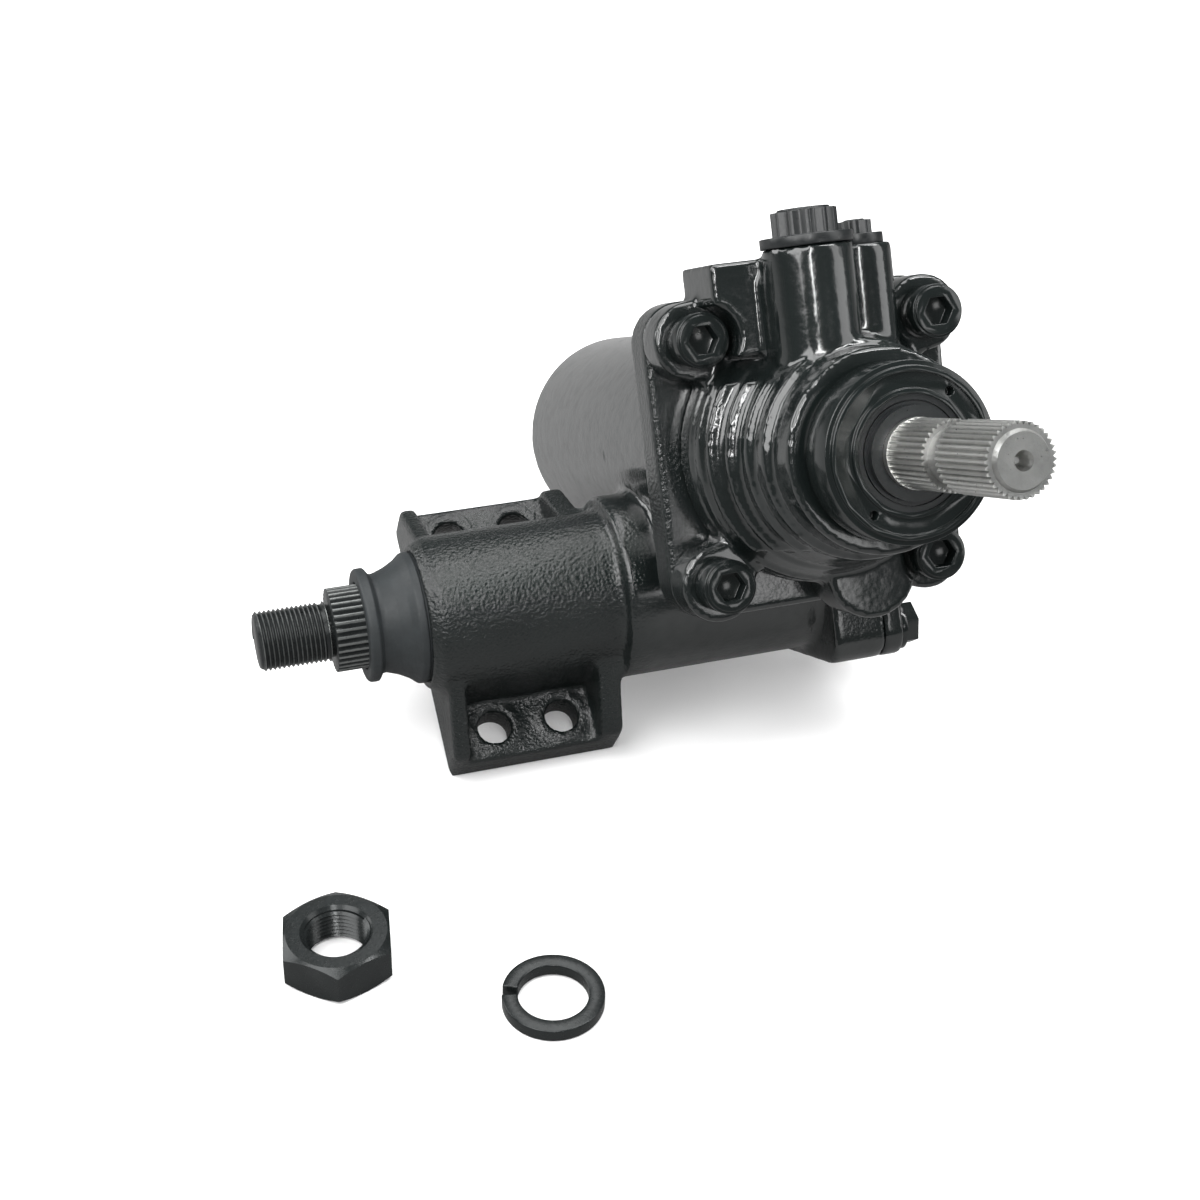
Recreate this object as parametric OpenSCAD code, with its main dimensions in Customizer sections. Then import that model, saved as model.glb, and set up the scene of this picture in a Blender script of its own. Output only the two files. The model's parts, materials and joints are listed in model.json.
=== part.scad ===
// Integral power steering gearbox with a recirculating ball worm, a rack piston and a sector shaft.
// Millimetres. The origin is the middle of the mounting face. The part lies on a bench, +Z up.

/* [Layout] */
// distance between the worm axis and the sector shaft axis
shaft_offset = 44; // [40:0.5:50]
// angle between the mounting bolts and the input shaft
mount_tilt = 29; // [0:1:45]
// angle by which the input shaft rises from the bench
rest_lean = 29; // [0:1:45]

/* [Cylinder] */
// outer radius of the power cylinder
cylinder_r = 38; // [36:0.5:44]
// bore radius of the power cylinder
bore_r = 30; // [28:0.5:33]
// distance from the sector axis back to the rear rim
cylinder_back = 120; // [112:1:140]
// distance from the sector axis forward to the front joint face
front_face = 78; // [76:1:90]
// half width of the square front flange
flange_half = 48; // [46:0.5:54]
// thickness of the square front flange
flange_t = 14.5; // [10:0.5:20]
// corner radius of the square front flange
flange_corner_r = 12; // [8:0.5:16]

/* [Valve housing] */
// thickness of the bolted ears
ear_t = 13; // [10:0.5:18]
// radius of the bolted ears
ear_r = 11.5; // [10:0.5:13]
// bolt distance sideways from the input axis
bolt_x = 37; // [34:0.5:40]
// bolt distance up and down from the input axis
bolt_y = 36; // [34:0.5:40]
// sideways distance of the lower right bolt
bolt_x_low = 30.5; // [28:0.5:37]
// bolt shank radius
bolt_r = 5; // [4:0.5:6]
// radius of the socket heads
bolt_head_r = 8; // [7:0.25:9]
// height of the socket heads
bolt_head_h = 10; // [8:0.5:12]
// radius of the first step of the valve body
step_1_r = 40; // [38:0.5:44]
// radius of the second step of the valve body
step_2_r = 36; // [33:0.5:38]
// radius of the third step of the valve body
step_3_r = 32; // [30:0.5:34]
// radius of the neck ring behind the bearing cap
neck_r = 29; // [27:0.5:32]
// radius of the lower lobe
lobe_r = 14; // [10:0.5:16]
// radius of the pressure port boss
port_r = 13; // [12:0.5:16]
// height of the pressure port boss above the input axis
port_top = 59; // [54:0.5:64]
// sideways place of the pressure port
port_x = -7; // [-12:0.5:0]
// place of the pressure port along the input axis
port_z = 112; // [106:0.5:118]
// radius of the pressure port hole
port_hole_r = 7; // [6:0.25:8]

/* [Input end] */
// radius of the bearing cap
cap_r = 25; // [24:0.5:28]
// place of the front face of the bearing cap
cap_front = 155; // [150:0.5:165]
// visible length of the bearing cap
cap_len = 18; // [12:0.5:22]
// radius of the input shaft over the splines
input_r = 9.6; // [9:0.1:10.5]
// place of the end of the input shaft
input_end = 217; // [205:1:230]
// number of input spline teeth
input_teeth = 36; // [24:2:48]

/* [Sector shaft] */
// radius of the sector shaft in its bearings
journal_r = 16; // [15:0.25:17]
// radius over the pitman serrations
serration_r = 13.9; // [12.5:0.1:14.5]
// number of pitman serrations
serration_teeth = 36; // [24:2:48]
// radius of the pitman thread
thread_r = 10; // [9:0.5:11]
// place of the thread end along the sector axis
thread_end = -166; // [-180:1:-160]
// place where the serrations start
serration_start = -141.5; // [-146:0.5:-138]
// end face of the sector tube
tube_end = -113; // [-116:0.5:-110]

/* [Mounting plate] */
// round radius of the sector tube
tube_r = 26.2; // [25:0.1:30]
// left edge of the mounting plate
plate_left = -108; // [-111:0.5:-100]
// right edge of the mounting plate
plate_right = -49; // [-52:0.5:-45]
// half height of the mounting plate
plate_half = 46.5; // [44:0.5:52]
// thickness of the mounting plate
plate_t = 13; // [10:0.5:16]
// distance from the sector axis to the spot faces
plate_drop = 20.3; // [18:0.1:24]
// distance between the holes along the sector axis
hole_pitch_x = 23.6; // [20:0.2:28]
// distance between the holes across the tube
hole_pitch_v = 71; // [66:0.5:76]
// radius of the mounting holes
hole_r = 5.65; // [4.5:0.05:6.5]
// radius of the spot faces
spot_r = 8.6; // [7.5:0.1:9]

/* [Mechanism] */
// lead of the worm
worm_lead = 8; // [7:0.5:10]
// pitch radius of the sector gear
sector_pitch_r = 20; // [19:0.5:21]
// number of tooth pitches in a full turn of the sector gear
sector_pitches = 8; // [8:1:9]
// pressure angle of the rack and sector
pressure_angle = 25; // [20:1:28]
// width of the sector gear
sector_width = 34; // [28:1:36]
// radius of the recirculating balls
ball_r = 2.6; // [2.2:0.1:2.8]
// radius of the circle of ball centres
ball_circle_r = 12; // [11.5:0.1:12.5]

/* [Clearances] */
// radial running clearance of shafts and piston
run_gap = 0.05; // [0.02:0.01:0.1]
// free gap between pieces that pass each other
free_gap = 0.4; // [0.3:0.05:0.8]
// backlash of the rack and sector teeth
backlash = 0.4; // [0.2:0.05:0.6]

/* [Loose pieces] */
// width across flats of the pitman nut
nut_flats = 32; // [28:0.5:34]
// height of the pitman nut
nut_h = 13; // [10:0.5:18]
// place of the nut on the bench, sideways
nut_x = -81; // [-110:1:-40]
// place of the nut on the bench, front to back
nut_y = -113; // [-140:1:-100]
// outer radius of the spring washer
washer_r = 15.4; // [14:0.1:18]
// thickness of the spring washer
washer_t = 5; // [3:0.25:6]
// place of the washer on the bench, sideways
washer_x = -23; // [-60:1:20]
// place of the washer on the bench, front to back
washer_y = -147; // [-170:1:-120]

/* [Hidden] */
$fn = 64;
lay = 90 - rest_lean;
plate_back = plate_drop + plate_t;
hole_mid_x = (plate_left + plate_right) / 2 - 1.1;
origin_y = -shaft_offset - plate_back * sin(mount_tilt);
origin_z = -plate_back * cos(mount_tilt);
origin_row_y = origin_y * cos(lay) - origin_z * sin(lay);
origin_row_z = origin_y * sin(lay) + origin_z * cos(lay);
edge_y = origin_y - plate_half * cos(mount_tilt);
edge_z = origin_z + plate_half * sin(mount_tilt);
rim_round = 2.5;
bench_edge = edge_y * sin(lay) + edge_z * cos(lay);
bench_rim = -(cylinder_r - rim_round) * sin(lay) - (cylinder_back - rim_round) * cos(lay) - rim_round;
bench_z = min(bench_edge, bench_rim) - origin_row_z;
seat_z = front_face + ear_t;
bolt_places = [[-bolt_x, bolt_y], [-bolt_x, -bolt_y], [bolt_x, bolt_y], [bolt_x_low, -bolt_y]];
cap_seat = cap_front - cap_len;
cap_plug_r = cap_r - 3;
cap_plug_len = 11;
sleeve_r = 19;
sleeve_back = front_face + 8;
sleeve_front = cap_seat - cap_plug_len - 1;
rotor_r = 12.5;
torsion_r = 3.2;
worm_bearing_r = 24;
worm_journal_r = 14;
spigot_back = front_face - 12;
worm_bearing_back = spigot_back + 2;
worm_bearing_front = worm_bearing_back + 12;
input_bearing_r = 15;
input_journal_r = input_r + 0.15;
pin_z = input_end - 33;
coupling_z = front_face + 5;
seal_r = 16;
tooth_pitch = 2 * PI * sector_pitch_r / sector_pitches;
module_size = tooth_pitch / PI;
addendum = 0.7 * module_size;
dedendum = 0.9 * module_size;
rack_pitch_y = -shaft_offset + sector_pitch_r;
piston_r = bore_r - run_gap;
piston_back = -75;
piston_front = 46;
nut_bore_r = ball_circle_r + ball_r + 0.02;
worm_r = ball_circle_r - 0.8;
groove_r = ball_r + 0.3;
worm_back = -46;
worm_front = 44;
cavity_r = sector_pitch_r + addendum + 2.5;
chamber_r = cavity_r + 5;
cavity_left = -sector_width / 2 - 4;
cover_face = cylinder_r + 0.2;
cover_t = 9;
cover_lobe_r = 9.6;
cover_bolt_circle_r = 35;
cover_thread = 10;
cover_bolt_r = 4;
bearing_r = journal_r + 4;
bush_r = 17;
side_journal_r = 14;
adjuster_r = 5;
adjuster_head_r = 7;
adjuster_head_x = cover_face - 4;
adjuster_nut_x = cover_face + cover_t + 8;
end_plug_back = -cylinder_back + 4;
end_plug_front = end_plug_back + 12;
end_ring_groove_r = bore_r + 2;
boot_big = tube_end - 2;
boot_lip = -132;
steel = [0.72, 0.72, 0.73];
dark_steel = [0.2, 0.21, 0.22];
paint = [0.13, 0.15, 0.15];
rubber = [0.23, 0.25, 0.26];
brass = [0.72, 0.58, 0.3];

// places a piece given in gear coordinates: x along the sector shaft, z along the input shaft
module gear() {
  translate([-hole_mid_x, -origin_row_y, -origin_row_z])
    rotate([lay, 0, 0])
      children();
}

// local frame on the sector axis, z along it
module on_sector() {
  translate([0, -shaft_offset, 0])
    rotate([0, 90, 0])
      children();
}

// local frame on the sector axis, z along the mounting bolts
module on_mount() {
  translate([0, -shaft_offset, 0])
    rotate([-mount_tilt, 0, 0])
      children();
}

// cylinder along z between two places
module rod(r, from, to) {
  translate([0, 0, from])
    cylinder(r = r, h = to - from);
}

// ring along z between two places
module ring(outer, inner, from, to) {
  difference() {
    rod(outer, from, to);
    rod(inner, from - 1, to + 1);
  }
}

// cone along z between two places
module taper(r1, r2, from, to) {
  translate([0, 0, from])
    cylinder(r1 = r1, r2 = r2, h = to - from);
}

// plate with round corners, in the xy plane
module round_plate(left, right, low, high, r, from, to) {
  translate([0, 0, from])
    linear_extrude(to - from)
      union() {
        translate([left + r, low]) square([right - left - 2 * r, high - low]);
        translate([left, low + r]) square([right - left, high - low - 2 * r]);
        for (x = [left + r, right - r], y = [low + r, high - r])
          translate([x, y]) circle(r);
      }
}

// places of the four valve housing bolts
module at_bolts(z) {
  for (p = bolt_places)
    translate([p[0], p[1], z])
      children();
}

// webs that carry the four bolt ears out from the axis
module ear_webs(from, to) {
  for (p = bolt_places)
    rotate([0, 0, atan2(p[1], p[0])])
      translate([0, -0.7 * ear_r, from])
        cube([norm(p), 1.4 * ear_r, to - from]);
}

// places of the four mounting holes, in the frame on_mount
module at_holes(h) {
  for (x = [-0.5, 0.5], v = [-0.5, 0.5])
    translate([hole_mid_x + x * hole_pitch_x, v * hole_pitch_v, h])
      children();
}

// places of the four side cover bolts, in the frame on_sector
module at_cover_bolts(x) {
  for (a = [45 : 90 : 315])
    rotate([0, 0, a])
      translate([cover_bolt_circle_r, 0, x])
        children();
}

// square plate with round corners, shared by the side cover and its seat
module cover_plate(from, to) {
  corner = cover_bolt_circle_r * cos(45);
  translate([0, 0, from]) linear_extrude(height = to - from) union() {
    square([2 * corner + 2 * cover_lobe_r - 0.1, 2 * corner], center = true);
    square([2 * corner, 2 * corner + 2 * cover_lobe_r - 0.1], center = true);
    for (x = [-corner, corner])
      for (y = [-corner, corner])
        translate([x, y]) circle(r = cover_lobe_r);
  }
}

// flat outline with many straight teeth around a circle
function tooth_ring(n, tip, root) = [
  for (i = [0 : n - 1], k = [0 : 3])
    let (a = (i + [0.06, 0.38, 0.62, 0.94][k]) * 360 / n, r = [root, tip, tip, root][k])
      [r * cos(a), r * sin(a)]
];

module tooth_bar(n, tip, root, from, to) {
  translate([0, 0, from])
    linear_extrude(to - from)
      polygon(tooth_ring(n, tip, root));
}

// one involute flank of the sector gear, from the base circle outwards
function inv(a) = tan(a) * 180 / PI - a;
base_r = sector_pitch_r * cos(pressure_angle);
half_tooth = 90 / sector_pitches - backlash / 4 / sector_pitch_r * 180 / PI;
function flank_angle(r) = half_tooth + inv(pressure_angle) - (r > base_r ? inv(acos(base_r / r)) : 0);
sector_tip_r = sector_pitch_r + addendum;
sector_root_r = sector_pitch_r - dedendum;
flank_radii = [for (k = [0 : 6]) base_r + (sector_tip_r - base_r) * k / 6];
sector_tooth = concat(
  [[(sector_root_r - 2) * sin(flank_angle(base_r)), (sector_root_r - 2) * cos(flank_angle(base_r))]],
  [for (r = flank_radii) [r * sin(flank_angle(r)), r * cos(flank_angle(r))]],
  [for (k = [6 : -1 : 0]) let (r = flank_radii[k]) [-r * sin(flank_angle(r)), r * cos(flank_angle(r))]],
  [[-(sector_root_r - 2) * sin(flank_angle(base_r)), (sector_root_r - 2) * cos(flank_angle(base_r))]]
);

// cross section of the worm: a ball groove cut obliquely shows as a cam shape
worm_points = [
  for (i = [0 : 19])
    let (a = i * 18 - 180, s = worm_lead * a / 360)
      let (r = abs(s) < groove_r ? min(worm_r, ball_circle_r - sqrt(groove_r * groove_r - s * s)) : worm_r)
        [r * cos(a), r * sin(a)]
];

// web that joins the tube to the mounting plate, in the frame on_mount
module plate_web(from, to) {
  for (s = [-1, 1])
    translate([from, 0, 0])
      rotate([90, 0, 90])
        linear_extrude(to - from)
          polygon([
            [0, -plate_back],
            [s * plate_half, -plate_back],
            [s * plate_half, -plate_drop + 4],
            [s * (plate_half - 3), -plate_drop + 7],
            [s * tube_r * 0.9, tube_r * 0.2],
            [0, 0]
          ]);
}

module main_housing() {
  color(paint) gear() difference() {
    union() {
      rod(cylinder_r - rim_round, -cylinder_back, 0);
      rod(cylinder_r, -cylinder_back + rim_round, front_face - flange_t);
      translate([0, 0, -cylinder_back + rim_round])
        rotate_extrude()
          translate([cylinder_r - rim_round, 0]) circle(rim_round);
      taper(cylinder_r, cylinder_r + 6, front_face - flange_t - 7, front_face - flange_t);
      round_plate(-flange_half, flange_half, -flange_half, flange_half, flange_corner_r,
        front_face - flange_t, front_face);
      on_sector() rod(chamber_r, plate_right + 1, 22);
      translate([-34, -shaft_offset, -chamber_r])
        cube([60, shaft_offset, 2 * chamber_r]);
      on_sector() cover_plate(20, cover_face);
      on_sector() rod(tube_r - 3, tube_end + 4, -20);
      on_mount() {
        rotate([0, 90, 0]) rod(tube_r, tube_end + 3, plate_right);
        rotate([0, 90, 0]) rod(tube_r - 2, tube_end, plate_right);
        translate([plate_left, -tube_r, -plate_back])
          cube([plate_right - plate_left, 2 * tube_r, plate_back]);
        round_plate(plate_left, plate_right, -plate_half, plate_half, 4, -plate_back, -plate_drop - 1);
        plate_web(plate_left, plate_left + 6);
        plate_web(plate_right - 8, plate_right);
        at_holes(-plate_back) cylinder(r = spot_r, h = plate_t);
      }
    }
    rod(bore_r, -cylinder_back - 1, front_face + 1);
    rod(end_ring_groove_r, end_plug_back - 2, end_plug_back);
    on_sector() rod(cavity_r, cavity_left, cover_face + 1);
    on_sector() rod(bearing_r, tube_end - 1, cavity_left + 1);
    on_sector() rod(bearing_r + 1.5, tube_end - 1, tube_end + 9);
    on_sector() at_cover_bolts(cover_face - cover_thread) cylinder(r = cover_bolt_r, h = cover_thread + 1);
    at_bolts(front_face - 26) cylinder(r = bolt_r, h = 40);
    on_mount() at_holes(-plate_back - 1) cylinder(r = hole_r, h = plate_back);
    on_mount() at_holes(-plate_drop) cylinder(r = spot_r, h = 30);
  }
}

// cast rib on the left of the valve body
module valve_rib(r, z) {
  intersection() {
    ring(r, neck_r - 3, z, z + 3.5);
    translate([-2 * r - 9, -27, z - 1]) cube([2 * r, 50, 8]);
  }
}

module valve_housing() {
  color(paint) gear() difference() {
    union() {
      at_bolts(front_face) cylinder(r = ear_r, h = ear_t);
      ear_webs(front_face + 0.6, seat_z - 0.8);
      ring(bore_r, worm_bearing_r, spigot_back, front_face);
      rod(step_1_r + 1, front_face, seat_z - 3);
      rod(step_1_r, seat_z - 4, seat_z + 2);
      taper(step_1_r - 0.8, step_2_r, seat_z, seat_z + 10);
      taper(step_2_r - 0.7, step_3_r, seat_z + 8, cap_seat - 22);
      rod(step_3_r - 0.5, seat_z, cap_seat - 13);
      rod(neck_r, seat_z, cap_seat);
      valve_rib(step_1_r - 0.4, seat_z + 6);
      valve_rib(step_2_r + 0.6, seat_z + 14);
      valve_rib(step_3_r + 1.7, seat_z + 22);
      translate([10, -39, front_face]) cylinder(r = lobe_r, h = ear_t + 5);
      translate([-34, bolt_y - 8, front_face]) cube([60, 24, ear_t + 1]);
      translate([-34, 30, front_face]) cube([30, 27, 27]);
      translate([port_x, 0, port_z]) rotate([-90, 0, 0]) cylinder(r = port_r, h = port_top);
      translate([port_x - port_r, 0, front_face + 4]) cube([2 * port_r, port_top - 8, port_z - front_face - 4]);
      translate([15, 0, 96]) rotate([-90, 0, 0]) cylinder(r = 10, h = port_top - 1);
    }
    rod(worm_bearing_r, spigot_back - 1, worm_bearing_front);
    rod(sleeve_r + run_gap, worm_bearing_front - 1, cap_seat - 5);
    rod(cap_plug_r, cap_seat - cap_plug_len, cap_seat + 1);
    at_bolts(front_face - 1) cylinder(r = bolt_r, h = ear_t + 2);
    at_bolts(seat_z) cylinder(r = bolt_head_r + 2, h = 60);
    translate([0, 0, front_face - 5])
      rotate_extrude()
        translate([bore_r - 2, -1.5]) square([4, 3]);
    translate([port_x, 30, port_z]) rotate([-90, 0, 0]) cylinder(r = port_hole_r, h = 40);
    translate([port_x, 17, port_z]) rotate([-90, 0, 0]) cylinder(r = 3, h = 20);
    translate([15, 32, 96]) rotate([-90, 0, 0]) cylinder(r = 5, h = 40);
    translate([15, 14, 96]) rotate([-90, 0, 0]) cylinder(r = 2.5, h = 20);
  }
}

// socket head with a hexagon recess
module socket_bolt(shank) {
  difference() {
    union() {
      cylinder(r = bolt_head_r - 0.8, h = bolt_head_h);
      cylinder(r = bolt_head_r, h = bolt_head_h - 0.8);
      translate([0, 0, -shank]) cylinder(r = bolt_r, h = shank + 1);
    }
    translate([0, 0, bolt_head_h - 5]) cylinder(r = 4.6, h = 6, $fn = 6);
  }
}

module valve_housing_bolts() {
  color(dark_steel) gear() at_bolts(seat_z) socket_bolt(ear_t + 22);
}

module valve_housing_seal() {
  color(rubber) gear()
    ring(bore_r, bore_r - 2, front_face - 6.5, front_face - 3.5);
}

module bearing_cap() {
  color(paint) gear() difference() {
    union() {
      rod(cap_r - 1.5, cap_seat, cap_front);
      rod(cap_r, cap_seat + 3, cap_front - 1.5);
      rod(cap_plug_r, cap_seat - cap_plug_len, cap_seat + 1);
    }
    rod(input_bearing_r, cap_seat - cap_plug_len - 1, cap_seat + 4);
    rod(input_journal_r + 1.5, cap_seat, cap_front + 1);
    rod(seal_r, cap_front - 9, cap_front + 1);
    ring(cap_r - 3, seal_r + 1.5, cap_front - 1.2, cap_front + 1);
    for (a = [50, 230])
      rotate([0, 0, a])
        translate([(cap_r + seal_r) / 2 - 0.7, 0, cap_front - 5]) cylinder(r = 1.3, h = 8);
  }
}

module input_oil_seal() {
  color(rubber) gear() difference() {
    union() {
      ring(seal_r, input_journal_r + run_gap, cap_front - 9, cap_front - 0.8);
      ring(input_journal_r + 3.2, input_journal_r + run_gap, cap_front - 2, cap_front + 1.6);
    }
    ring(seal_r - 1.6, input_journal_r + 4.2, cap_front - 1.6, cap_front + 1);
  }
}

module input_bearing() {
  color(steel) gear()
    ring(input_bearing_r, input_journal_r + run_gap, cap_seat - cap_plug_len + 1, cap_seat + 4);
}

module worm_bearing() {
  color(steel) gear() difference() {
    ring(worm_bearing_r, worm_journal_r + run_gap, worm_bearing_back, worm_bearing_front);
    ring(worm_bearing_r - 3, worm_journal_r + 3, worm_bearing_back - 1, worm_bearing_back + 1);
    ring(worm_bearing_r - 3, worm_journal_r + 3, worm_bearing_front - 1, worm_bearing_front + 1);
  }
}

module cylinder_end_plug() {
  color(dark_steel) gear() difference() {
    rod(bore_r, end_plug_back, end_plug_front);
    ring(bore_r + 1, bore_r - 2, end_plug_back + 5, end_plug_back + 8);
    rod(bore_r - 8, end_plug_back - 1, end_plug_back + 4);
  }
}

module end_plug_seal() {
  color(rubber) gear()
    ring(bore_r, bore_r - 2, end_plug_back + 5, end_plug_back + 8);
}

module end_plug_ring() {
  color(steel) gear() difference() {
    ring(end_ring_groove_r, bore_r - 2, end_plug_back - 2, end_plug_back);
    translate([-4, 20, end_plug_back - 4]) cube([8, 20, 6]);
  }
}

module side_cover() {
  color(paint) gear() on_sector() difference() {
    union() {
      cover_plate(cover_face, cover_face + cover_t - 2);
      rod(cover_bolt_circle_r - cover_lobe_r - 1, cover_face, cover_face + cover_t);
      rod(cavity_r, cover_face - 12, cover_face + 1);
      taper(20, 15, cover_face + cover_t - 1, adjuster_nut_x);
    }
    rod(bush_r, cover_face - 13, cover_face + 3);
    rod(adjuster_r, cover_face, adjuster_nut_x + 1);
    at_cover_bolts(cover_face - 1) cylinder(r = cover_bolt_r, h = cover_t + 2);
    ring(cavity_r + 1, cavity_r - 2, cover_face - 7, cover_face - 4);
  }
}

// hexagon head bolt with a flange
module hex_bolt(shank) {
  cylinder(r = 2 * cover_bolt_r + 0.4, h = 1.8);
  cylinder(r = 2 * cover_bolt_r - 0.5, h = 6.5, $fn = 6);
  translate([0, 0, -shank]) cylinder(r = cover_bolt_r, h = shank + 1);
}

module side_cover_bolts() {
  color(dark_steel) gear() on_sector() at_cover_bolts(cover_face + cover_t - 2) hex_bolt(cover_t - 2 + cover_thread);
}

module side_cover_seal() {
  color(rubber) gear() on_sector()
    ring(cavity_r, cavity_r - 2, cover_face - 7, cover_face - 4);
}

module side_cover_bush() {
  color(brass) gear() on_sector()
    ring(bush_r, side_journal_r + run_gap, cover_face - 12, cover_face + 3);
}

module adjuster_screw() {
  color(steel) gear() on_sector() difference() {
    union() {
      rod(adjuster_r, adjuster_head_x, adjuster_nut_x + 14);
      rod(adjuster_head_r, adjuster_head_x, adjuster_head_x + 3);
    }
    translate([-1, -8, adjuster_nut_x + 11]) cube([2, 16, 5]);
  }
}

module adjuster_nut() {
  color(dark_steel) gear() on_sector() difference() {
    translate([0, 0, adjuster_nut_x]) cylinder(r = 9.8, h = 8, $fn = 6);
    rod(adjuster_r, adjuster_nut_x - 1, adjuster_nut_x + 10);
  }
}

module sector_outer_bearing() {
  color(steel) gear() on_sector()
    ring(bearing_r, journal_r + run_gap, tube_end + 10, tube_end + 36);
}

module sector_inner_bearing() {
  color(steel) gear() on_sector()
    ring(bearing_r, journal_r + run_gap, cavity_left - 26, cavity_left - 1);
}

module sector_oil_seal() {
  color(rubber) gear() on_sector() difference() {
    ring(bearing_r + 1.5, journal_r + run_gap, tube_end, tube_end + 9);
    ring(bearing_r - 0.5, journal_r + 2, tube_end - 1, tube_end + 3);
  }
}

// flared dust cover, turned about the sector axis
module dust_boot() {
  color(rubber) gear() on_sector()
    rotate_extrude()
      polygon([
        [serration_r + free_gap, boot_lip],
        [serration_r + 4.2, boot_lip],
        [serration_r + 5, boot_lip + 0.8],
        [serration_r + 5, boot_lip + 3.4],
        [serration_r + 2.6, boot_lip + 5],
        [serration_r + 2.6, boot_lip + 6.5],
        [serration_r + 4, boot_lip + 10.5],
        [bearing_r - 0.2, boot_big - 3],
        [bearing_r + 1.8, boot_big - 0.6],
        [bearing_r + 2, tube_end],
        [bearing_r - 0.5, tube_end],
        [journal_r + free_gap + 0.6, boot_big],
        [journal_r + free_gap, boot_big - 3.5],
        [serration_r + free_gap, boot_lip + 8]
      ]);
}

// moulded plug with a ribbed grip
module port_plug(r, flange, top, grip_r, grip_h, ribs) {
  cylinder(r = flange, h = 3);
  translate([0, 0, -14]) cylinder(r = r, h = 15);
  translate([0, 0, 2]) linear_extrude(grip_h) polygon(tooth_ring(ribs, grip_r, grip_r - 1.3));
  translate([0, 0, 2]) cylinder(r = grip_r - 2, h = grip_h + top);
}

module pressure_port_plug() {
  color(dark_steel) gear()
    translate([port_x, port_top, port_z])
      rotate([-90, 0, 0])
        port_plug(port_hole_r, port_r + 0.3, 0.6, 9.5, 8, 12);
}

module return_port_plug() {
  color(dark_steel) gear()
    translate([15, port_top - 1, 96])
      rotate([-90, 0, 0])
        port_plug(5, 8, 0.4, 5, 5, 8);
}

module input_shaft() {
  color(steel) gear() difference() {
    union() {
      rod(rotor_r, front_face + 20, sleeve_front);
      rod(input_journal_r, sleeve_front - 1, cap_front + 4);
      tooth_bar(input_teeth, input_r, input_r - 0.9, cap_front + 3, pin_z - 4);
      rod(input_r - 1.8, cap_front, input_end - 3);
      tooth_bar(input_teeth, input_r, input_r - 0.9, pin_z + 4, input_end - 1.5);
      taper(input_r - 1.1, input_r - 2.6, input_end - 3, input_end);
    }
    rod(torsion_r + free_gap, front_face + 19, pin_z - 8);
    rod(torsion_r, pin_z - 9, pin_z + 7);
    taper(0.8, 2.6, input_end - 4, input_end + 0.01);
    for (a = [0 : 60 : 300])
      rotate([0, 0, a])
        translate([rotor_r - 1.2, -1.5, front_face + 26]) cube([4, 3, 16]);
    translate([0, -30, pin_z]) rotate([-90, 0, 0]) cylinder(r = 1.5, h = 60);
  }
}

module torsion_bar() {
  color(steel) gear() difference() {
    union() {
      rod(torsion_r, front_face + 2, pin_z + 7);
      rod(torsion_r + 1.4, front_face + 2, front_face + 14);
    }
    translate([0, -30, pin_z]) rotate([-90, 0, 0]) cylinder(r = 1.5, h = 60);
    translate([0, -30, coupling_z]) rotate([-90, 0, 0]) cylinder(r = 1.5, h = 60);
  }
}

module torsion_bar_pin() {
  color(steel) gear()
    translate([0, -input_r + 2, pin_z])
      rotate([-90, 0, 0])
        cylinder(r = 1.5, h = 2 * input_r - 4);
}

module coupling_pin() {
  color(steel) gear()
    translate([0, -worm_journal_r + 0.5, coupling_z])
      rotate([-90, 0, 0])
        cylinder(r = 1.5, h = 2 * worm_journal_r - 1);
}

module valve_sleeve() {
  color(steel) gear() difference() {
    ring(sleeve_r, rotor_r + run_gap, sleeve_back, sleeve_front);
    for (k = [0 : 2])
      ring(sleeve_r + 1, sleeve_r - 1.5, sleeve_back + 9 + k * 11, sleeve_back + 14 + k * 11);
    for (k = [0 : 3])
      ring(sleeve_r + 1, sleeve_r - 1.5, sleeve_back + 4.5 + k * 11, sleeve_back + 6.5 + k * 11);
    translate([0, -30, sleeve_back + 5.5]) rotate([-90, 0, 0]) cylinder(r = 0.6, h = 60);
  }
}

module sleeve_seal_rings() {
  color(dark_steel) gear()
    for (k = [0 : 3])
      ring(sleeve_r, sleeve_r - 1.5, sleeve_back + 4.5 + k * 11, sleeve_back + 6.5 + k * 11);
}

module worm_shaft() {
  color(steel) gear() difference() {
    union() {
      translate([0, 0, worm_back])
        linear_extrude(worm_front - worm_back, twist = -360 * (worm_front - worm_back) / worm_lead, slices = 90, $fn = 20)
          polygon(worm_points);
      rod(worm_r - 3.4, worm_front - 1, worm_front + 2);
      rod(worm_r, worm_front + 1, spigot_back - 4);
      rod(worm_journal_r + 3, spigot_back - 4, worm_bearing_back - free_gap);
      rod(worm_journal_r, spigot_back, sleeve_back - 1);
      rod(rotor_r + run_gap, sleeve_back - 2, sleeve_back + 10);
    }
    rod(torsion_r + 1.4, front_face + 2, sleeve_back + 12);
    rod(torsion_r + 2.4, sleeve_back + 6, sleeve_back + 12);
    translate([0, -30, coupling_z]) rotate([-90, 0, 0]) cylinder(r = 1.5, h = 60);
  }
}

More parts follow.
